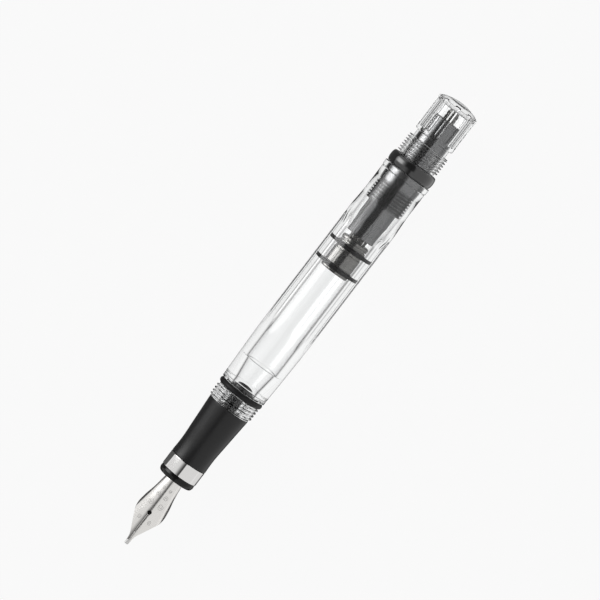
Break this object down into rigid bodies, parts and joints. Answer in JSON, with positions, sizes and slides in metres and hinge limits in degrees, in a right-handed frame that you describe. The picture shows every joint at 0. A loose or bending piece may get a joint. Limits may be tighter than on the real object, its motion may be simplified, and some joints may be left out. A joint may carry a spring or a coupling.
{
  "type": "fountain pen",
  "caption": "Uncapped clear piston-filler fountain pen: steel nib, black grip, faceted see-through barrel, sliding piston and a turning knob at the end.",
  "frame": {"origin": "centre of the pen's bounding box, on its axis half way between the tip of the nib and the end of the knob", "axes": "+X along the pen from the nib to the knob, +Z out of the nib's upper face, +Y to the left of someone writing with it"},
  "size_m": [0.131, 0.0128, 0.0128],
  "materials": {
    "nib_steel": "polished stainless steel with fine engraved scroll lines",
    "black_plastic": "moulded black plastic, satin",
    "grip_plastic": "fine matte black",
    "chrome": "polished plating",
    "rubber": "black elastomer",
    "rear_ring_rubber": "satin black, crowned",
    "clear_plastic": "polished clear resin",
    "piston_plastic": "dark grey-brown moulded plastic, satin",
    "dark_metal": "turned metal with a dark smoky plating",
    "brass": "turned brass",
    "washer_plastic": "slippery white plastic"
  },
  "bodies": {
    "pen": {"nib": "nib_steel", "feed": "black_plastic", "nib_collar": "black_plastic", "collar_seal": "rubber", "section_core": "black_plastic", "section_trim_ring": "chrome", "grip_sleeve": "grip_plastic", "cap_seal": "rubber", "barrel": "clear_plastic", "mechanism_housing": "dark_metal", "rod_guide": "black_plastic", "front_thrust_washer": "washer_plastic", "rear_thrust_washer": "washer_plastic", "gland_nut": "brass", "rear_ring": "rear_ring_rubber"},
    "piston": {"piston_head": "piston_plastic", "front_piston_seal": "rubber", "rear_piston_seal": "rubber", "piston_rod": "piston_plastic"},
    "knob": {"knob": "clear_plastic", "knob_core": "dark_metal", "drive_sleeve": "brass", "knob_friction_ring": "rubber"}
  },
  "joints": [
    {"name": "knob_turn", "type": "hinge", "parent": "pen", "child": "knob", "pos_m": [0.052, 0, 0], "axis": [1, 0, 0], "range_deg": [0, 1350]},
    {"name": "piston_slide", "type": "slide", "parent": "pen", "child": "piston", "axis": [-1, 0, 0], "range_m": [0, 0.027]}
  ],
  "couplings": [
    {"joint": "piston_slide", "follows": "knob_turn", "m_per_rad": 0.0011459}
  ]
}
